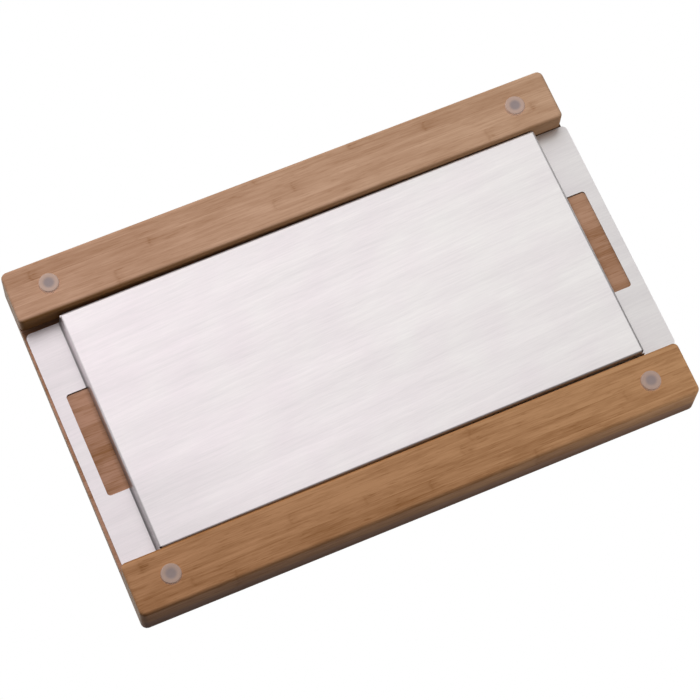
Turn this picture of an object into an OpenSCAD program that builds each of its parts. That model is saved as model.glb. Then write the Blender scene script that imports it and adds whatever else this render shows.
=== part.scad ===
// Bamboo cutting board on two side rails, with a folded steel tray that slides
// through the tunnel between the rails and comes out at either end.
// Stands on its feet at z = 0, cutting face up, long side along X.

/* [Board] */
// Length of the board and of both rails
board_l = 450; // [380:1:520]
// Width across both rails
board_w = 289; // [250:1:340]
// Thickness of the slab that carries the cutting face
slab_t = 18; // [12:0.5:28]
// Radius of the board's four corners, seen from above
corner_r = 5; // [3.5:0.5:12]
// Radius of the rounded long and short edges
edge_r = 3; // [1:0.5:3.5]

/* [Rails] */
// Width of each rail
rail_w = 43.3; // [30:0.1:55]
// Height of each rail, which is also the depth of the tunnel
rail_h = 20; // [16:0.5:30]
// Radius of the rails' end corners on the tunnel side
rail_corner_r = 4; // [3.5:0.5:8]
// Height of the tray groove, cut right under the slab
groove_h = 2.4; // [1.6:0.1:4]
// Depth of the tray groove into the rail
groove_d = 7.3; // [4:0.1:12]

/* [Feet] */
// Height of a foot below the rail
foot_h = 3; // [2:0.5:6]
// Diameter of a foot where it meets the rail
foot_d = 16; // [12:0.5:20]
// Distance of the feet from the middle, along the board
foot_x = 193; // [150:1:205]
// Width of the sunk middle of a foot at its mouth
foot_dish_d = 10; // [8:0.5:12]
// Depth of the sunk middle
foot_dish_h = 1.5; // [1:0.1:2]
// Diameter of the screw head that sits in the sunk middle
screw_head_d = 6.2; // [5:0.1:6.6]
// Diameter of the screw's shank
screw_d = 3; // [2.5:0.1:3.2]
// How far the screw reaches into the rail
screw_l = 12; // [8:0.5:15]

/* [Tray] */
// Thickness of the tray's sheet
sheet_t = 0.8; // [0.6:0.1:1.2]
// Length of the tray's floor
floor_l = 393.4; // [340:0.1:430]
// Width of the tray across its long walls
floor_w = 199.3; // [150:0.1:200]
// Gap between the tray's floor and the plane of the rails' undersides
floor_lift = 4; // [1:0.5:8]
// Lean of the two end walls from upright, in degrees
end_lean = 5.5; // [2:0.5:20]
// Inside radius of every fold
fold_r = 1.4; // [0.5:0.1:2]
// Overall length across both end flanges
tray_l = 451.6; // [400:0.1:470]
// Width of an end flange
flange_w = 198.9; // [150:0.1:200]
// Radius of a flange's outer corners
flange_r = 4; // [1:0.5:10]
// Width across the side rims that run in the grooves
rim_w = 210; // [204:0.1:212]
// Side of the square notch at each floor corner, where two folds meet
notch = 1.8; // [1:0.1:3]

/* [Grip slots] */
// Length of a grip slot across the tray
slot_l = 86; // [60:1:120]
// Width of the grip bar left outside the slot
bar_w = 10.5; // [8:0.5:16]
// Radius of a slot's two outer corners
slot_r = 2.5; // [1:0.5:6]

/* [Where the tray lies] */
// Gap between the tray's rims and the slab above them
rim_gap = 0.3; // [0.3:0.1:0.8]
// How far the tray is pushed along the board
tray_x = 3; // [-10:0.1:10]
// How far the tray lies to one side of its tunnel
tray_y = 0.05; // [-1:0.05:1]
// Skew of the loose tray in its tunnel, in degrees
tray_skew = -0.38; // [-0.4:0.01:0.4]

/* [Hidden] */
$fn = 64;

rail_z = foot_h;
slab_z = foot_h + rail_h;
rail_y = board_w / 2 - rail_w;
foot_y = board_w / 2 - rail_w / 2;

// The tray's levels: underside of the floor, underside and top of the flanges and rims
tray_z0 = rail_z + floor_lift;
rim_z1 = slab_z - rim_gap;
rim_z0 = rim_z1 - sheet_t;
// Outside radius of a fold, and the height where the walls hand over to their top folds
fold_o = fold_r + sheet_t;
hand_z = rim_z0 - fold_r - 0.6;
// Centre of the fold between an end wall and its flange
fold_cz = rim_z0 - fold_r;
fold_cx = wall_x(fold_cz + fold_r * sin(end_lean)) + fold_r * cos(end_lean);
rim_l = 2 * (fold_cx - fold_o - 1);

// Outer face of an end wall at height z
function wall_x(z) = floor_l / 2 + (z - tray_z0) * tan(end_lean);
// Inner face of an end wall at height z
function wall_in_x(z) = wall_x(z) - sheet_t / cos(end_lean);

// ---- flat shapes -------------------------------------------------------------

// A pie slice of radius r from angle a0 to a1
module slice(r, a0, a1) {
    m = (a0 + a1) / 2;
    intersection() {
        circle(r);
        polygon([
            [0, 0],
            2 * r * [cos(a0), sin(a0)],
            2 * r * [cos(m), sin(m)],
            2 * r * [cos(a1), sin(a1)]
        ]);
    }
}

// A bent strip of sheet: the ring between the fold's two radii
module fold(a0, a1) {
    difference() {
        slice(fold_o, a0, a1);
        circle(fold_r);
    }
}

// A rectangle from [0, 0] to [w, h] whose corners have the radii
// r = [low left, low right, top right, top left]
module panel(w, h, r) {
    polygon([
        [0, r[0]], [r[0], r[0]], [r[0], 0],
        [w - r[1], 0], [w - r[1], r[1]], [w, r[1]],
        [w, h - r[2]], [w - r[2], h - r[2]], [w - r[2], h],
        [r[3], h], [r[3], h - r[3]], [0, h - r[3]]
    ]);
    if (r[0] > 0) translate([r[0], r[0]]) slice(r[0], 180, 270);
    if (r[1] > 0) translate([w - r[1], r[1]]) slice(r[1], 270, 360);
    if (r[2] > 0) translate([w - r[2], h - r[2]]) slice(r[2], 0, 90);
    if (r[3] > 0) translate([r[3], h - r[3]]) slice(r[3], 90, 180);
}

// Draws a flat shape of Y and Z and runs it along X, centred
module along_x(l) {
    rotate([90, 0, 90])
        linear_extrude(l, center = true)
            children();
}

// Draws a flat shape of X and Z and runs it along Y, centred
module along_y(l) {
    rotate([90, 0, 0])
        linear_extrude(l, center = true)
            children();
}

// ---- bamboo ------------------------------------------------------------------

// One end of a bar: its rounded end strip and two corners that turn with the
// edge's own profile. ra is the corner radius at y = 0, rb the one at y = w.
module bar_end(l, w, h, ra, rb, e) {
    rc = max(ra, rb);
    // the end strip between the corners
    translate([l / 2 - rc, (ra + w - rb) / 2, 0])
        along_y(w - ra - rb)
            panel(rc, h, [0, e, 0, 0]);
    // the corners
    translate([l / 2 - ra, ra, 0])
        rotate([0, 0, -90])
            rotate_extrude(angle = 90)
                panel(ra, h, [0, e, 0, 0]);
    translate([l / 2 - rb, w - rb, 0])
        rotate_extrude(angle = 90)
            panel(rb, h, [0, e, 0, 0]);
    // fills the step beside the smaller corner
    if (ra < rc)
        translate([l / 2 - (rc + ra) / 2, 0, 0])
            along_x(rc - ra)
                panel(ra, h, [e, 0, 0, 0]);
    if (rb < rc)
        translate([l / 2 - (rc + rb) / 2, w - rb, 0])
            along_x(rc - rb)
                panel(rb, h, [0, e, 0, 0]);
}

// A bar of bamboo from y = 0 to w, with its low edges rounded all the way round
module bar(l, w, h, ra, rb, e) {
    rc = max(ra, rb);
    along_x(l - 2 * rc)
        panel(w, h, [e, e, 0, 0]);
    for (s = [0, 1])
        mirror([s, 0, 0])
            bar_end(l, w, h, ra, rb, e);
}

// The slab: the cutting face is on top, and its edges are rounded there
module slab() {
    color("#b98e6c")
        translate([0, -board_w / 2, slab_z + slab_t])
            mirror([0, 0, 1])
                bar(board_l, board_w, slab_t, corner_r, corner_r, edge_r);
}

// The rail on the +Y side, its groove and the pilot holes for the foot screws
module rail() {
    difference() {
        translate([0, rail_y, rail_z])
            bar(board_l, rail_w, rail_h, rail_corner_r, corner_r, edge_r);
        translate([-board_l, rail_y - 1, slab_z - groove_h])
            cube([2 * board_l, groove_d + 1, groove_h + 1]);
        for (s = [-1, 1])
            translate([s * foot_x, foot_y, rail_z - 1])
                cylinder(d = screw_d + 0.1, h = screw_l + 2);
    }
}

module rail_back() {
    color("#b07f5b") rail();
}

module rail_front() {
    color("#b98d6c") mirror([0, 1, 0]) rail();
}

// ---- feet --------------------------------------------------------------------

// Puts a foot or a screw under a corner: sx and sy are -1 or 1
module at_corner(sx, sy) {
    translate([sx * foot_x, sy * foot_y, 0]) children();
}

// A soft foot, dished in the middle to take the screw head
module foot() {
    r = foot_d / 2;
    lip = 0.8;
    color("#c6b6af")
        rotate_extrude()
            difference() {
                union() {
                    polygon([
                        [screw_d / 2 + 0.2, foot_h], [screw_d / 2 + 0.2, 0],
                        [r - 0.3 - lip, 0], [r - 0.3 - lip, lip],
                        [r - 0.3, lip], [r, foot_h]
                    ]);
                    translate([r - 0.3 - lip, lip]) slice(lip, 270, 360);
                }
                polygon([
                    [0, -1], [foot_dish_d / 2 + 0.5, -1], [foot_dish_d / 2, 0],
                    [screw_head_d / 2 + 0.3, foot_dish_h], [0, foot_dish_h]
                ]);
            }
}

// The wood screw that holds a foot: a low domed head and a plain shank
module screw() {
    head_h = 0.9;
    color("#8d888a")
        rotate_extrude()
            translate([0, foot_dish_h])
                union() {
                    polygon([
                        [0, 0], [0, -head_h], [screw_head_d / 2 - 0.5, -head_h],
                        [screw_head_d / 2 - 0.5, 0.5 - head_h],
                        [screw_head_d / 2, 0.5 - head_h], [screw_head_d / 2, 0]
                    ]);
                    translate([screw_head_d / 2 - 0.5, 0.5 - head_h]) slice(0.5, 270, 360);
                    polygon([
                        [0, 0], [screw_d / 2, 0],
                        [screw_d / 2, foot_h - foot_dish_h + screw_l - 2],
                        [0, foot_h - foot_dish_h + screw_l]
                    ]);
                }
}

// ---- tray --------------------------------------------------------------------

// Outline of the pan lengthwise, with leaning ends and round folds at the floor.
// in = 0 draws the outside of the sheet, in = 1 the inside.
module pan_side(in) {
    r = in == 1 ? fold_r : fold_o;
    z0 = tray_z0 + in * sheet_t;
    a = 90 - end_lean;
    // floor half length, tangent length of the fold and its centre
    b = in == 1 ? wall_in_x(z0) : wall_x(z0);
    d = r * tan(a / 2);
    cx = b - d;
    cz = z0 + r;
    top = in == 1 ? wall_in_x(slab_z + 5) : wall_x(hand_z);
    tz = in == 1 ? slab_z + 5 : hand_z;
    tx = b + d * sin(end_lean);
    tzz = z0 + d * cos(end_lean);
    polygon([
        [-cx, z0], [cx, z0], [cx, cz], [tx, tzz], [top, tz],
        [-top, tz], [-tx, tzz], [-cx, cz]
    ]);
    translate([cx, cz]) slice(r, 270, 360 - end_lean);
    mirror([1, 0]) translate([cx, cz]) slice(r, 270, 360 - end_lean);
}

// Outline of the pan crosswise, with upright walls
module pan_cross(in) {
    w = floor_w - 2 * in * sheet_t;
    r = in == 1 ? fold_r : fold_o;
    z0 = tray_z0 + in * sheet_t;
    tz = in == 1 ? slab_z + 5 : hand_z;
    translate([-w / 2, z0])
        panel(w, tz - z0, [r, r, 0, 0]);
}

// The pan up to the top folds: two outlines crossed, so the corner seams are mitred.
// A small notch takes away the spot where the folds would run into each other.
module pan() {
    difference() {
        intersection() {
            along_y(floor_w + 20) pan_side(0);
            along_x(tray_l) pan_cross(0);
        }
        intersection() {
            along_y(floor_w + 30) pan_side(1);
            along_x(tray_l + 10) pan_cross(1);
        }
        for (sx = [-1, 1])
            for (sy = [-1, 1])
                translate([sx * (floor_l / 2 + 2 - notch / 2), sy * (floor_w / 2 + 2 - notch / 2), tray_z0])
                    cube([notch + 4, notch + 4, 2 * fold_o + 1], center = true);
    }
}

// Top of a long wall: it folds outward into the rim that runs in the groove
module rim() {
    y = floor_w / 2;
    along_x(rim_l) {
        translate([y - sheet_t, hand_z]) square([sheet_t, fold_cz - hand_z]);
        translate([y + fold_r, fold_cz]) fold(90, 180);
        translate([y + fold_r, rim_z0]) square([rim_w / 2 - y - fold_r, sheet_t]);
    }
}

// Top of an end wall: it folds outward into the flange on both sides of the grip slot
module end_fold() {
    // along the wall, and square to it
    u = [sin(end_lean), cos(end_lean)];
    n = [cos(end_lean), -sin(end_lean)];
    c = [fold_cx, fold_cz];
    along_y(floor_w)
        polygon([
            [wall_in_x(hand_z), hand_z], [wall_x(hand_z), hand_z],
            c - fold_r * n + 0.05 * u, c - fold_o * n
        ]);
    for (s = [-1, 1])
        translate([0, s * (floor_w + slot_l) / 4, 0])
            along_y((floor_w - slot_l) / 2)
                translate(c) fold(90, 180 - end_lean);
}

// The flange is the handle: a flat plate with a grip slot that opens at the end wall
module flange() {
    l = tray_l / 2 - fold_cx;
    translate([fold_cx, 0, rim_z0])
        linear_extrude(sheet_t)
            difference() {
                translate([0, -flange_w / 2])
                    panel(l, flange_w, [0, flange_r, flange_r, 0]);
                translate([-5, -slot_l / 2])
                    panel(l - bar_w + 5, slot_l, [0, slot_r, slot_r, 0]);
            }
}

module tray() {
    color("#dcd7d7")
        translate([tray_x, tray_y, 0])
            rotate([0, 0, tray_skew]) {
                pan();
                for (s = [0, 1]) {
                    mirror([0, s, 0]) rim();
                    mirror([s, 0, 0]) end_fold();
                    mirror([s, 0, 0]) flange();
                }
            }
}

slab();
rail_front();
rail_back();
tray();
at_corner(-1, -1) foot();  // foot_front_left
at_corner(1, -1) foot();  // foot_front_right
at_corner(-1, 1) foot();  // foot_back_left
at_corner(1, 1) foot();  // foot_back_right
at_corner(-1, -1) screw();  // screw_front_left
at_corner(1, -1) screw();  // screw_front_right
at_corner(-1, 1) screw();  // screw_back_left
at_corner(1, 1) screw();  // screw_back_right
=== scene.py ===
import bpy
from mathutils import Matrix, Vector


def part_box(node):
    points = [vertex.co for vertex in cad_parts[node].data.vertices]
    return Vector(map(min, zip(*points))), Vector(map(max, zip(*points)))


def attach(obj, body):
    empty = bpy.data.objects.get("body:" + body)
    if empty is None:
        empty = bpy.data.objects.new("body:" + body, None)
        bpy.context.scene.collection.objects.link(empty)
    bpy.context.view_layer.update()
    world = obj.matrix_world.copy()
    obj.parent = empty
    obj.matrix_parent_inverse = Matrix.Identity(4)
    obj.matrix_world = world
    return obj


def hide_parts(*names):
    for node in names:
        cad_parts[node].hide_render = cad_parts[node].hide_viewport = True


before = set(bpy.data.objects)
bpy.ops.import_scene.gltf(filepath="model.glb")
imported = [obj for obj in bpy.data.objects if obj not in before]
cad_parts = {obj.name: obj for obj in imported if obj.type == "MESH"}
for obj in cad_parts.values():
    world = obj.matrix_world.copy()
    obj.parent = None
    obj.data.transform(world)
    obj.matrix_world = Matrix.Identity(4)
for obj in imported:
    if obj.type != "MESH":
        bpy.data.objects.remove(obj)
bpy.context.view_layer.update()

import math

import bmesh
import bpy
from mathutils import Euler, Vector

bl_info = {
    "name": "Board with a sliding tray",
    "version": (1, 0, 0),
    "blender": (4, 5, 0),
    "location": "3D View > Sidebar > Tray Board",
    "description": "Finishes a bamboo board on two rails and the folded steel tray between them",
    "category": "Mesh",
}

MM = 0.001
CORNERS = ("front_left", "front_right", "back_left", "back_right")

# The slab's corners in metres, and what the finishes need of the CAD in millimetres
SLAB_LOW, SLAB_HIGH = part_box("slab")
LENGTH = (SLAB_HIGH.x - SLAB_LOW.x) / MM
BACK_SIDE = SLAB_HIGH.y / MM
SLAB_UNDERSIDE = SLAB_LOW.z / MM
TUNNEL_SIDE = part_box("rail_back")[0].y / MM
TRAY_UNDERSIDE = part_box("tray")[0].z / MM

# Where a seam between strips lies in the slab, and in a rail, outward from the middle
SLAB_SEAM = 3.0
RAIL_SEAM = 106.0
# Tone of each strip of a rail, counted outward from the tunnel: 0.5 is the mean
FRONT_TONES = (0.48, 0.44, 0.49, 0.58, 0.55)
BACK_TONES = (0.44, 0.36, 0.53, 0.60, 0.54)
# Where the canes' nodes lie along each strip, in millimetres: two rows of places
FRONT_NODES = ((-144, -12, -111, 120, -19), (163, 205, 7, -205, 60))
BACK_NODES = ((-212, -98, -41, 8, -150), (50, 40, 170, -181, 90))
# Lengths over which the nodes that are given, and those left to chance, may lie, and their bend
NODE_SPAN = 500
CHANCE_SPAN = 400
NODE_BEND = 5
# Length of cane that the strips are cut from, and how far their fibres drift sideways
CANE_LENGTH = 900
FIBRE_DRIFT = 3.0

# Length, width and height of the marks in the bamboo, in millimetres
FIBRE = (14, 0.9, 1.2)
STREAK = (120, 2.4, 4.5)
CLOUD = (48, 11, 14)
DASH = (9, 1.2, 2)
DRIFT = (90, 30, 1)
CUT_FIBRE = (30, 0.7, 0.7)
# The same for the brushed steel, the plastic's haze and the spots on the screws
BRUSH_MARK = (12, 0.6, 0.6)
BRUSH_LINE = (45, 2.4, 2.4)
BRUSH_BAND = (160, 11, 12)
STEEL_PATCH = (40, 60, 40)
HAZE = (3, 3, 3)
SPOT = (0.8, 0.8, 0.8)
# How far the brushing turns from the X axis, as a slope
BRUSH_SLANT = 0.05
# Where painted shade darkens a corner of the tray's floor, and how far around, in millimetres
SHADED_CORNER = (-200, 100)
SHADED_CORNER_REACH = 50
# Heights over the tray's underside, in millimetres: painted shade on the end walls deepens, and
# the flange begins
WALL_SHADE_RISE = 11
FLANGE_RISE = (7, 14)
# Heights over which painted shade darkens the board's side at the back, in millimetres
BACK_SHADE_RISE = (9, 36)

END_GRAIN = (0.58, 0.45, 0.34)
# Shares of red, green and blue that turn a material's own colour; the first gives the painted
# shade on the tunnel's side of a rail
TUNNEL_SHADE_TINT = (0.52, 0.40, 0.21)
CANE_LEFT = (0.98, 0.95, 0.97)
CANE_RIGHT = (1.02, 1.05, 1.03)
STEEL_ROSY = (1.0, 0.965, 0.985)
STEEL_PLAIN = (1.0, 1.03, 0.995)

# A foot's radius, the radii between which its grey middle ends, and half sections of a foot and
# a screw as (radius, height) above the floor, all in millimetres. An edge is what arc() takes.
FOOT_RADIUS = 8.0
FOOT_MIDDLE = (2.6, 5.6)
FOOT_SKIN = ((0.0, 0.22), (3.0, 0.20), (4.5, 0.10), (5.4, 0.02), (6.0, 0.0))
FOOT_EDGE = (6.9, 0.8, 0.8, 270, 360, 8)
FOOT_SIDE = ((7.85, 1.8), (FOOT_RADIUS, 2.99))
FOOT_BORE = ((1.7, 2.99), (1.7, 1.52), (3.5, 1.52), (3.5, 0.50), (0.0, 0.50))
SCREW_HEAD = ((0.0, 0.6), (1.0, 0.6), (2.0, 0.63))
SCREW_EDGE = (2.5, 1.4, 0.75, 270, 350, 6)
SCREW_SHANK = ((3.25, 1.5), (1.5, 1.5), (1.5, 13.0), (0.0, 15.0))
FOOT_STEPS = 64
SCREW_STEPS = 32
SHARP_ANGLE = math.radians(35)
MERGE_DISTANCE = 0.0002 * MM

# Name, place in metres, width in metres and power in watts of each lamp, and where all of them aim
LAMPS = (
    ("under_main", (-0.10, -1.10, -1.60), 0.9, 34.5),
    ("under_side", (0.55, 0.40, -0.12), 0.25, 1.2),
    ("side", (0.45, 0.85, -0.03), 0.3, 0.8),
    ("under_left", (-1.00, -0.50, -0.25), 0.4, 2.2),
    ("top_main", (0.25, -0.75, 1.90), 1.2, 37.0),
)
LAMP_AIM = (0, 0, 0.02)
# Direction of the bright side of the surroundings below, where it fades, its least and its most
GLOW_WAY = (-0.17, -0.46, -0.871)
GLOW_EDGE = (0.45, 0.97)
GLOW_LEAST = 0.15
GLOW_MOST = 1.245
# The floor's drop under the feet and its radius in metres, and where it fades in millimetres
FLOOR_DROP = 0.3 * MM
FLOOR_RADIUS = 3.0
FLOOR_FADE = (900, 2200)
# The photograph's camera: place in metres, turn in degrees, sensor and lens in millimetres
CAMERA_PLACE = (-0.337286, 0.641605, -1.890138)
CAMERA_TURN = (-159.4883, 1.7295, 23.2732)
CAMERA_SENSOR = 36.0
CAMERA_LENS = 138.926
CAMERA_RANGE = (0.05, 50.0)


# ---- shader maths ------------------------------------------------------------


class Field:
    """One output of a shader node. Sums written with it add the Math nodes they need."""

    def __init__(self, finish, socket):
        self.finish = finish
        self.socket = socket

    def maths(self, operation, first, second=0.0):
        """Adds one Math node."""
        return self.finish.node("Math", {"operation": operation}, {0: first, 1: second})

    def __add__(self, other):
        return self.maths("ADD", self, other)

    def __sub__(self, other):
        return self.maths("SUBTRACT", self, other)

    def __rsub__(self, other):
        return self.maths("SUBTRACT", other, self)

    def __mul__(self, other):
        return self.maths("MULTIPLY", self, other)

    def __truediv__(self, other):
        return self.maths("DIVIDE", self, other)

    def __rtruediv__(self, other):
        return self.maths("DIVIDE", other, self)

    def __neg__(self):
        return self * -1.0

    def __abs__(self):
        return self.maths("ABSOLUTE", self)

    __radd__ = __add__
    __rmul__ = __mul__

    def floor(self):
        return self.maths("FLOOR", self)

    def fract(self):
        return self.maths("FRACT", self)

    def root(self):
        return self.maths("SQRT", self)

    def sign(self):
        return self.maths("SIGN", self)

    def highest(self, other):
        return self.maths("MAXIMUM", self, other)

    def sway(self, share):
        """How far this is from its mean of 0.5, times a share."""
        return (self - 0.5) * share

    def hump(self, width):
        """1 where this is 0, falling off like a bell of that width."""
        ratio = self / width
        return self.maths("EXPONENT", ratio * ratio * -0.5)

    def rise(self, low, high):
        """0 below low, 1 above high, and a smooth step between them."""
        return self.finish.node(
            "MapRange",
            {"interpolation_type": "SMOOTHSTEP"},
            {"Value": self, "From Min": low, "From Max": high},
        )


class Finish:
    """A material, or the world, whose nodes are added one by one."""

    def __init__(self, name, owner=None):
        self.owner = owner or bpy.data.materials.new(name)
        self.owner.use_nodes = True
        self.tree = self.owner.node_tree
        self.tree.nodes.clear()

    def node(self, kind, settings=None, values=None, out=0):
        """Adds a node: its type, its settings, then the values or links of its sockets."""
        made = self.tree.nodes.new("ShaderNode" + kind)
        for key, value in (settings or {}).items():
            if key == "stops":
                self.set_stops(made.color_ramp, value)
            else:
                setattr(made, key, value)
        for key, value in (values or {}).items():
            if isinstance(value, Field):
                self.tree.links.new(value.socket, made.inputs[key])
            else:
                made.inputs[key].default_value = value
        return Field(self, made.outputs[out]) if made.outputs else None

    @staticmethod
    def set_stops(ramp, stops):
        """Gives a ramp its stops, with a step and no blend between them."""
        while len(ramp.elements) > 1:
            ramp.elements.remove(ramp.elements[-1])
        ramp.elements[0].position = stops[0][0]
        ramp.elements[0].color = stops[0][1]
        for place, colour in stops[1:]:
            ramp.elements.new(place).color = colour
        ramp.interpolation = "CONSTANT"

    def parts(self, vector):
        """The X, Y and Z of a vector."""
        made = self.node("SeparateXYZ", None, {0: vector})
        return [Field(self, socket) for socket in made.socket.node.outputs]

    def place(self):
        """X, Y and Z in the object's own coordinates, in millimetres."""
        metres = self.node("TexCoord", out="Object")
        scaled = self.node("VectorMath", {"operation": "SCALE"}, {0: metres, "Scale": 1 / MM})
        return self.parts(scaled)

    def facing(self):
        """X, Y and Z of the way that the surface faces."""
        return self.parts(self.node("TexCoord", out="Normal"))

    def grain(self, place, size, detail, roughness=0.5):
        """Smooth noise from 0 to 1, with grains of that size along X, Y and Z."""
        x, y, z = (axis / length for axis, length in zip(place, size))
        scaled = self.node("CombineXYZ", None, {0: x, 1: y, 2: z})
        values = {"Vector": scaled, "Scale": 1.0, "Detail": detail, "Roughness": roughness}
        return self.node("TexNoise", None, values)

    def pick(self, number, values):
        """The value from a row of values, each from 0 to 1, that a whole number points at."""
        share = 1 / len(values)
        stops = [(i * share, (value, value, value, 1)) for i, value in enumerate(values)]
        return self.node("ValToRGB", {"stops": stops}, {0: (number + 0.5) * share})

    def chance(self, number):
        """A fixed random number from 0 to 1 for each whole number."""
        return self.node("TexWhiteNoise", {"noise_dimensions": "1D"}, {"W": number})

    def blend(self, factor, first, second):
        """Mixes two colours."""
        return self.node("Mix", {"data_type": "RGBA"}, {0: factor, 6: first, 7: second}, out=2)

    def bump(self, height, strength, depth):
        """A surface roughened by a height, where 1 stands for a depth in millimetres."""
        values = {"Strength": strength, "Distance": depth * MM, "Height": height}
        return self.node("Bump", None, values)

    def surface(self, **sockets):
        """Ends the material in a Principled shader with these sockets."""
        values = {name.replace("_", " "): value for name, value in sockets.items()}
        shader = self.node("BsdfPrincipled", None, values)
        self.node("OutputMaterial", None, {"Surface": shader})
        return self.owner


def rgb(colour):
    """The colour with the alpha of 1 that a node's socket takes."""
    return (*colour[:3], 1.0)


def tint(colour, shares):
    """The colour with its red, green and blue each scaled."""
    return rgb([channel * share for channel, share in zip(colour, shares)])


def darker(colour, share):
    """The colour scaled down evenly."""
    return tint(colour, (share, share, share))


def wear(obj, material):
    """Gives an object its only material."""
    if obj.material_slots:
        obj.material_slots[0].material = material
    else:
        obj.data.materials.append(material)


# ---- sizes and colours -------------------------------------------------------


class BambooSettings(bpy.types.PropertyGroup):
    strip: bpy.props.FloatProperty(
        name="Strip width",
        description="Width of one glued bamboo strip, across the board",
        default=8 * MM,
        min=4 * MM,
        max=20 * MM,
        unit="LENGTH",
    )
    slab_colour: bpy.props.FloatVectorProperty(
        name="Slab",
        description="Colour of the slab's bamboo",
        subtype="COLOR",
        size=3,
        default=(0.45, 0.255, 0.17),
        min=0,
        max=1,
    )
    front_colour: bpy.props.FloatVectorProperty(
        name="Front rail",
        description="Colour of the front rail's bamboo",
        subtype="COLOR",
        size=3,
        default=(0.54, 0.335, 0.225),
        min=0,
        max=1,
    )
    back_colour: bpy.props.FloatVectorProperty(
        name="Back rail",
        description="Colour of the back rail's bamboo",
        subtype="COLOR",
        size=3,
        default=(0.47, 0.25, 0.125),
        min=0,
        max=1,
    )
    dark_colour: bpy.props.FloatVectorProperty(
        name="Dark fibres",
        description="Colour that the fibres, seams and nodes lean towards",
        subtype="COLOR",
        size=3,
        default=(0.22, 0.09, 0.03),
        min=0,
        max=1,
    )


class SteelSettings(bpy.types.PropertyGroup):
    colour: bpy.props.FloatVectorProperty(
        name="Steel",
        description="Colour of the brushed sheet",
        subtype="COLOR",
        size=3,
        default=(0.90, 0.845, 0.86),
        min=0,
        max=1,
    )
    roughness: bpy.props.FloatProperty(
        name="Roughness",
        description="How far the brushing spreads a highlight",
        default=0.4,
        min=0.05,
        max=1,
        subtype="FACTOR",
    )


class FootSettings(bpy.types.PropertyGroup):
    colour: bpy.props.FloatVectorProperty(
        name="Foot",
        description="Colour of the milky soft plastic",
        subtype="COLOR",
        size=3,
        default=(0.49, 0.345, 0.285),
        min=0,
        max=1,
    )
    middle_colour: bpy.props.FloatVectorProperty(
        name="Middle",
        description="Colour of a foot's middle, where its screw shows through",
        subtype="COLOR",
        size=3,
        default=(0.285, 0.23, 0.23),
        min=0,
        max=1,
    )
    clearness: bpy.props.FloatProperty(
        name="Clearness",
        description="How much of the wood shows through the thin edge of a foot",
        default=0.8,
        min=0,
        max=1,
        subtype="FACTOR",
    )
    screw_colour: bpy.props.FloatVectorProperty(
        name="Screw",
        description="Colour of the plated screws",
        subtype="COLOR",
        size=3,
        default=(0.25, 0.19, 0.175),
        min=0,
        max=1,
    )


class StageSettings(bpy.types.PropertyGroup):
    level: bpy.props.FloatProperty(
        name="Light level",
        description="Scales all lamps together",
        default=1.0,
        min=0,
        max=4,
    )
    ambient: bpy.props.FloatProperty(
        name="Ambient",
        description="Share of the light that comes evenly from all sides",
        default=0.10,
        min=0,
        max=1,
        subtype="FACTOR",
    )
    floor_colour: bpy.props.FloatVectorProperty(
        name="Floor",
        description="Colour of the floor",
        subtype="COLOR",
        size=3,
        default=(0.86, 0.855, 0.845),
        min=0,
        max=1,
    )


# ---- finishes ----------------------------------------------------------------


def cane_nodes(x, bend, dash, places):
    """Where the canes had their nodes: fine bent lines, each with a soft smudge beside it."""
    marks = 0.0
    for place in places:
        along = x - place - bend
        smudge = (along - 2).hump(3.5) * (dash + 0.5)
        marks = along.hump(0.8) * 0.22 + smudge * 0.35 + marks
    return marks


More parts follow.
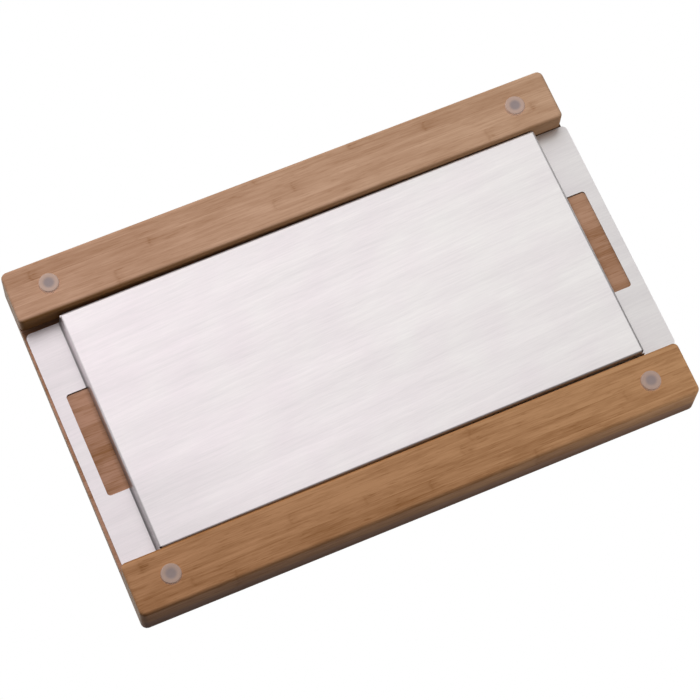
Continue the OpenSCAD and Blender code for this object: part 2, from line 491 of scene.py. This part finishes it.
def bamboo(name, colour, dark, strip, first_seam, seed, contrast, tones=(), nodes=()):
    """Bamboo strips glued side by side, with their fibres along X. Lengths in millimetres."""
    finish = Finish(name)
    x, y, z = finish.place()

    across = (y - first_seam) / strip
    number = across.floor()
    off_middle = across.fract() - 0.5
    luck = finish.chance(number + seed)
    tone = finish.pick(number, tones) if tones else luck * 0.5 + 0.25

    # the grain drifts a little from straight, and each strip has a stretch of its own
    drift = finish.grain((x, y, number * 2.3 + seed), DRIFT, 1.0)
    along = (x + luck * CANE_LENGTH, y + drift.sway(FIBRE_DRIFT), z)
    fibre = finish.grain(along, FIBRE, 2.0, 0.6)
    streak = finish.grain(along, STREAK, 2.0, 0.6)
    cloud = finish.grain(along, CLOUD, 1.0)
    dash = finish.grain(along, DASH, 1.0).rise(0.58, 0.76)
    seam = abs(off_middle).rise(0.44, 0.5) * (0.5 + streak)

    if nodes:
        # a ramp holds values from 0 to 1, so the places are squeezed and then spread again
        squeezed = [[place / NODE_SPAN + 0.5 for place in row] for row in nodes]
        places = [finish.pick(number, row).sway(NODE_SPAN) for row in squeezed]
    else:
        places = [finish.chance(number + (seed + 31.5)).sway(CHANCE_SPAN)]
    bend = off_middle * off_middle * NODE_BEND + streak.sway(NODE_BEND)
    knot = cane_nodes(x, bend, dash, places)

    # each mark's share of the dark colour
    grain = streak.sway(0.9) + fibre.sway(0.9) + cloud.sway(0.9) + dash * 0.22 + seam * 0.14
    darkness = grain * contrast + (tone - 0.5) + knot * 0.6 + 0.24

    # the cane is a little yellower towards +X
    warm = x / LENGTH + 0.5
    clean = finish.blend(warm, tint(colour, CANE_LEFT), tint(colour, CANE_RIGHT))
    base = finish.blend(darkness, clean, rgb(dark))

    # the ends show cut fibres
    end = abs(finish.facing()[0]).rise(0.80, 0.95)
    dots = finish.grain((x, y, z), CUT_FIBRE, 1.0).rise(0.45, 0.62)
    cut = finish.blend(dots * 0.35, rgb(END_GRAIN), rgb(dark))
    base = finish.blend(end * 0.7, base, cut)

    # painted shade: the tunnel's side of a rail is browner and darker, most of all towards -X
    beside_tunnel = 1 - abs(y).rise(TUNNEL_SIDE + 0.4, TUNNEL_SIDE + 2.3)
    tunnel_shade = beside_tunnel * (1 - z.rise(SLAB_UNDERSIDE - 0.2, SLAB_UNDERSIDE))
    base = finish.blend(tunnel_shade * (1 - warm * 0.55), base, tint(colour, TUNNEL_SHADE_TINT))

    # painted shade: the board's back side darkens upward
    back_shade = y.rise(BACK_SIDE - 1.5, BACK_SIDE - 0.1) * z.rise(*BACK_SHADE_RISE)
    base = finish.blend(back_shade * 0.75, base, darker(dark, 0.3))

    height = fibre * 0.5 + dash * -0.5 + seam * -0.8 + knot * 0.5
    return finish.surface(
        Base_Color=base,
        Roughness=0.52 + fibre.sway(0.18),
        Specular_IOR_Level=0.04,
        Normal=finish.bump(height, 0.22, 0.12),
    )


def brushed_steel(name, colour, roughness):
    """Sheet steel brushed along X, with painted shade that makes the walls darker than the floor.
    """
    finish = Finish(name)
    x, y, z = finish.place()
    facing = finish.facing()
    brushed = (x, y + x * BRUSH_SLANT, z)
    fine = finish.grain(brushed, BRUSH_MARK, 3.0, 0.65)
    lines = finish.grain(brushed, BRUSH_LINE, 2.0, 0.6)
    bands = finish.grain(brushed, BRUSH_BAND, 1.0)
    patches = finish.grain((x + y, y - x, z), STEEL_PATCH, 1.0)
    flange = (z - TRAY_UNDERSIDE).rise(*FLANGE_RISE)

    # painted shade: one corner of the floor is darker
    corner = (x - SHADED_CORNER[0]).hump(SHADED_CORNER_REACH) * (y - SHADED_CORNER[1]).hump(SHADED_CORNER_REACH)
    # light is the brushing marks' own brightness; painted reflection then darkens the sheet
    # towards +X, and the corner's painted shade comes off it
    light = fine.sway(0.55) + lines.sway(0.55) + bands.sway(0.5) + patches.sway(0.2)
    shade = light - x / LENGTH * 0.08 - corner * (1 - flange) * 0.4

    # the sheet is a little rosier towards -X, in soft patches
    rosiness = x / LENGTH + 0.5 + patches.sway(1.1)
    sheet = finish.blend(rosiness, tint(colour, STEEL_ROSY), tint(colour, STEEL_PLAIN))
    base = finish.blend(0.3 - shade, sheet, darker(colour, 0.72))

    # painted shade: the end walls darken towards their flanges, more so at the back, and the sides
    # that face the back and the flanges are darker too
    rising = (z - TRAY_UNDERSIDE).rise(0, WALL_SHADE_RISE)
    wall_shade = abs(facing[0]).rise(0.10, 0.6) * (rising * 0.55 + y / 350 + 0.3)
    dulling_and_painted_shade = wall_shade + facing[1].rise(0.0, 0.35) * 0.6 + flange * 0.16
    base = finish.blend(dulling_and_painted_shade, base, darker(colour, 0.3))
    return finish.surface(
        Base_Color=base,
        Metallic=0.8,
        Roughness=roughness + lines.sway(0.12),
        Normal=finish.bump(fine, 0.12, 0.05),
    )


def milky_plastic(name, colour, middle, clearness, centre):
    """Milky plastic, greyer over the screw. The centre is a foot's, in metres."""
    finish = Finish(name)
    x, y, z = finish.place()
    # the four feet mirror each other, so one foot's centre serves them all
    from_x = x - x.sign() * (abs(centre[0]) / MM)
    from_y = y - y.sign() * (abs(centre[1]) / MM)
    radius = (from_x * from_x + from_y * from_y).root()
    haze = finish.grain((x, y, z), HAZE, 2.0)
    base = finish.blend(radius.rise(*FOOT_MIDDLE), rgb(middle), rgb(colour))
    # the plastic takes on some of the tone of the rail behind it
    depth = haze * 0.25 + y.rise(-10, 10) * 0.2
    base = finish.blend(depth, base, darker(colour, 0.5))
    # it is clearest along the rim and up the side
    clear = radius.rise(FOOT_RADIUS - 1.2, FOOT_RADIUS) * 0.3 + z.rise(0.4, 1.2) * 0.6
    return finish.surface(
        Base_Color=base,
        Roughness=0.5 + haze.sway(0.1),
        Alpha=1 - clear * clearness,
        IOR=1.45,
    )


def plated_screw(name, colour):
    """Plating, dulled in small spots."""
    finish = Finish(name)
    dulling_and_painted_shade = finish.grain(finish.place(), SPOT, 3.0)
    base = finish.blend(dulling_and_painted_shade * 0.5, rgb(colour), darker(colour, 0.6))
    return finish.surface(Base_Color=base, Metallic=1.0, Roughness=0.45 + dulling_and_painted_shade * 0.2)


# ---- pieces ------------------------------------------------------------------


def finish_piece(shape, name, body, material, replaced):
    """Makes a bmesh a piece that rides on a body and stands for a CAD node."""
    bmesh.ops.recalc_face_normals(shape, faces=shape.faces)
    mesh = bpy.data.meshes.new(name)
    shape.to_mesh(mesh)
    shape.free()
    mesh.polygons.foreach_set("use_smooth", [True] * len(mesh.polygons))
    mesh.set_sharp_from_angle(angle=SHARP_ANGLE)
    piece = bpy.data.objects.new(name, mesh)
    bpy.context.scene.collection.objects.link(piece)
    wear(piece, material)
    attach(piece, body)
    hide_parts(replaced)
    return piece


def arc(centre_r, centre_z, radius, start, stop, steps):
    """Points of a profile's rounding, angles in degrees."""
    turn = [math.radians(start + (stop - start) * i / steps) for i in range(steps + 1)]
    return [(centre_r + radius * math.cos(a), centre_z + radius * math.sin(a)) for a in turn]


def turned(profile, centre, steps):
    """A bmesh turned about a vertical line, from a profile of (radius, height) in millimetres."""
    made = bmesh.new()
    points = [
        made.verts.new((centre[0] + radius * MM, centre[1], centre[2] + height * MM))
        for radius, height in profile
    ]
    edges = [made.edges.new(pair) for pair in zip(points, points[1:])]
    bmesh.ops.spin(
        made,
        geom=points + edges,
        cent=centre,
        axis=(0, 0, 1),
        angle=math.tau,
        steps=steps,
        use_merge=True,
    )
    bmesh.ops.remove_doubles(made, verts=made.verts, dist=MERGE_DISTANCE)
    # a spin leaves its edges and faces in another order each run, so they are put in one
    made.verts.index_update()
    for parts in (made.edges, made.faces):
        in_order = sorted(parts, key=lambda part: sorted(vert.index for vert in part.verts))
        for number, part in enumerate(in_order):
            part.index = number
        parts.sort()
    return made


class BOARD_OT_slab(bpy.types.Operator):
    """Finishes the slab in bamboo"""

    bl_idname = "tray_board.slab"
    bl_label = "Slab"

    def execute(self, context):
        chosen = context.scene.board_bamboo
        material = bamboo(
            "bamboo_slab",
            chosen.slab_colour,
            chosen.dark_colour,
            strip=chosen.strip / MM,
            first_seam=SLAB_SEAM,
            seed=40.5,
            contrast=0.9,
        )
        wear(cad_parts["slab"], material)
        return {"FINISHED"}


class BOARD_OT_rails(bpy.types.Operator):
    """Finishes both rails in bamboo"""

    bl_idname = "tray_board.rails"
    bl_label = "Rails"

    def execute(self, context):
        chosen = context.scene.board_bamboo
        # node, side, colour, seed, contrast, tones, nodes of the canes
        rails = (
            ("rail_front", -1, chosen.front_colour, 3.5, 0.62, FRONT_TONES, FRONT_NODES),
            ("rail_back", 1, chosen.back_colour, 17.5, 1.0, BACK_TONES, BACK_NODES),
        )
        for node, side, colour, seed, contrast, tones, nodes in rails:
            material = bamboo(
                "bamboo_" + node,
                colour,
                chosen.dark_colour,
                strip=side * chosen.strip / MM,
                first_seam=side * RAIL_SEAM,
                seed=seed,
                contrast=contrast,
                tones=tones,
                nodes=nodes,
            )
            wear(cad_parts[node], material)
        return {"FINISHED"}


class BOARD_OT_tray(bpy.types.Operator):
    """Finishes the folded tray in brushed steel"""

    bl_idname = "tray_board.tray"
    bl_label = "Tray"

    def execute(self, context):
        chosen = context.scene.board_steel
        material = brushed_steel("brushed_sheet", chosen.colour, chosen.roughness)
        wear(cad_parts["tray"], material)
        return {"FINISHED"}


class BOARD_OT_feet(bpy.types.Operator):
    """Makes the four soft feet and the screws that hold them"""

    bl_idname = "tray_board.feet"
    bl_label = "Feet and screws"

    def execute(self, context):
        chosen = context.scene.board_feet
        centres = {}
        for corner in CORNERS:
            low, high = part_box("foot_" + corner)
            centres[corner] = ((low.x + high.x) / 2, (low.y + high.y) / 2, 0.0)
        plastic = milky_plastic(
            "soft_foot",
            chosen.colour,
            chosen.middle_colour,
            chosen.clearness,
            centres["back_right"],
        )
        plating = plated_screw("foot_screw", chosen.screw_colour)
        for corner, centre in centres.items():
            self.foot(corner, centre, plastic)
            self.screw(corner, centre, plating)
        return {"FINISHED"}

    def foot(self, corner, centre, plastic):
        """A foot, with a thin skin that closes its sunk middle over the screw's head."""
        profile = [*FOOT_SKIN, *arc(*FOOT_EDGE), *FOOT_SIDE, *FOOT_BORE]
        made = turned(profile, centre, FOOT_STEPS)
        piece = finish_piece(
            made, "soft_foot_" + corner, "board", plastic, "foot_" + corner
        )
        # light passes through the milky plastic
        piece.visible_shadow = False

    def screw(self, corner, centre, plating):
        """A screw with a low round head and a pointed shank."""
        profile = [*SCREW_HEAD, *arc(*SCREW_EDGE), *SCREW_SHANK]
        made = turned(profile, centre, SCREW_STEPS)
        finish_piece(
            made, "foot_screw_" + corner, "board", plating, "screw_" + corner
        )


# ---- stage -------------------------------------------------------------------


class BOARD_OT_stage(bpy.types.Operator):
    """Makes the floor, the lamps, the surroundings and the camera"""

    bl_idname = "tray_board.stage"
    bl_label = "Stage"

    def execute(self, context):
        chosen = context.scene.board_stage
        floor = self.floor(context.scene, chosen.floor_colour)
        unlit = self.unlit_list(floor)
        self.surroundings(context.scene, chosen.ambient)
        for name, place, size, power in LAMPS:
            lamp = self.lamp(context.scene, name, place, size, power * chosen.level)
            if place[2] < 0:
                lamp.light_linking.receiver_collection = unlit
        self.camera(context.scene)
        context.scene.view_settings.view_transform = "Standard"
        return {"FINISHED"}

    def floor(self, scene, colour):
        """A pale disc under the feet, clear from beneath and at its edge."""
        made = bmesh.new()
        bmesh.ops.create_circle(made, cap_ends=True, segments=96, radius=FLOOR_RADIUS)
        bmesh.ops.translate(made, verts=made.verts, vec=(0, 0, -FLOOR_DROP))
        mesh = bpy.data.meshes.new("floor")
        made.to_mesh(mesh)
        made.free()
        floor = bpy.data.objects.new("floor", mesh)
        scene.collection.objects.link(floor)
        finish = Finish("floor")
        x, y, _ = finish.place()
        far = (x * x + y * y).root().rise(*FLOOR_FADE)
        beneath = finish.node("NewGeometry", out="Backfacing")
        pale = finish.node("BsdfDiffuse", None, {"Color": rgb(colour)})
        clear = finish.node("BsdfTransparent")
        mixed = finish.node("MixShader", None, {0: beneath.highest(far), 1: pale, 2: clear})
        finish.node("OutputMaterial", None, {"Surface": mixed})
        wear(floor, finish.owner)
        # seen by the camera alone, so that the lamps under it reach the underside
        floor.visible_shadow = False
        floor.visible_diffuse = False
        floor.visible_glossy = False
        floor.visible_transmission = False
        return floor

    def unlit_list(self, floor):
        """A list that keeps a lamp from lighting the floor."""
        unlit = bpy.data.collections.new("unlit_floor")
        unlit.objects.link(floor)
        unlit.collection_objects[0].light_linking.link_state = "EXCLUDE"
        return unlit

    def surroundings(self, scene, ambient):
        """White for the camera, dim and even for the light, and shaped in reflections."""
        scene.world = bpy.data.worlds.new("surroundings")
        finish = Finish("surroundings", scene.world)
        rays = finish.node("LightPath").socket.node
        camera, glossy, through = (
            Field(finish, rays.outputs["Is %s Ray" % kind])
            for kind in ("Camera", "Glossy", "Transmission")
        )
        seen = camera.highest(glossy).highest(through)
        # in reflections, one soft bright side below, one at -X and a bright half above
        x, y, z = finish.parts(finish.node("TexCoord", out="Generated"))
        toward = x * GLOW_WAY[0] + y * GLOW_WAY[1] + z * GLOW_WAY[2]
        glow = toward.rise(*GLOW_EDGE) * (GLOW_MOST - GLOW_LEAST) + GLOW_LEAST
        side = (-x).rise(0.3, 1.0) * 0.55
        horizon = z.rise(-0.05, 0.15) * (0.2 + (-y).rise(-0.35, 0.2) * 0.8)
        upper = horizon.highest(z.rise(0.15, 0.6) * 0.6)
        shaped = glow.highest(side).highest(upper)
        white = 1 - glossy * (1 - shaped)
        strength = ambient + seen * (white - ambient)
        values = {"Color": (1, 1, 1, 1), "Strength": strength}
        finish.node("OutputWorld", None, {"Surface": finish.node("Background", None, values)})

    def lamp(self, scene, name, place, size, power):
        """A square lamp that aims at the board and isn't seen itself."""
        data = bpy.data.lights.new(name, "AREA")
        data.shape = "SQUARE"
        data.size = size
        data.energy = power
        lamp = bpy.data.objects.new(name, data)
        lamp.location = place
        aim = Vector(LAMP_AIM) - Vector(place)
        lamp.rotation_euler = aim.to_track_quat("-Z", "Y").to_euler()
        lamp.visible_camera = False
        lamp.visible_glossy = False
        scene.collection.objects.link(lamp)
        return lamp

    def camera(self, scene):
        """The photograph's camera, which looks up at the underside."""
        data = bpy.data.cameras.new("camera")
        data.sensor_width = CAMERA_SENSOR
        data.lens = CAMERA_LENS
        data.clip_start, data.clip_end = CAMERA_RANGE
        camera = bpy.data.objects.new("camera", data)
        camera.location = CAMERA_PLACE
        camera.rotation_euler = Euler([math.radians(a) for a in CAMERA_TURN], "XYZ")
        scene.collection.objects.link(camera)
        scene.camera = camera


# ---- panel and main ----------------------------------------------------------


class VIEW3D_PT_tray_board(bpy.types.Panel):
    """Lists the pieces and their settings"""

    bl_label = "Tray Board"
    bl_space_type = "VIEW_3D"
    bl_region_type = "UI"
    bl_category = "Tray Board"

    def draw(self, context):
        scene = context.scene
        for operator, settings in (
            ("tray_board.slab", "board_bamboo"),
            ("tray_board.rails", None),
            ("tray_board.tray", "board_steel"),
            ("tray_board.feet", "board_feet"),
            ("tray_board.stage", "board_stage"),
        ):
            box = self.layout.box()
            box.operator(operator)
            if settings:
                group = getattr(scene, settings)
                for name in group.bl_rna.properties.keys():
                    if name not in ("rna_type", "name"):
                        box.prop(group, name)


GROUPS = {
    "board_bamboo": BambooSettings,
    "board_steel": SteelSettings,
    "board_feet": FootSettings,
    "board_stage": StageSettings,
}
CLASSES = (
    *GROUPS.values(),
    BOARD_OT_slab,
    BOARD_OT_rails,
    BOARD_OT_tray,
    BOARD_OT_feet,
    BOARD_OT_stage,
    VIEW3D_PT_tray_board,
)


def register():
    for made in CLASSES:
        bpy.utils.register_class(made)
    for name, group in GROUPS.items():
        setattr(bpy.types.Scene, name, bpy.props.PointerProperty(type=group))


def unregister():
    for name in GROUPS:
        delattr(bpy.types.Scene, name)
    for made in reversed(CLASSES):
        bpy.utils.unregister_class(made)


def main():
    register()
    bpy.ops.tray_board.slab()
    bpy.ops.tray_board.rails()
    bpy.ops.tray_board.tray()
    bpy.ops.tray_board.feet()
    bpy.ops.tray_board.stage()


if __name__ == "__main__":
    main()
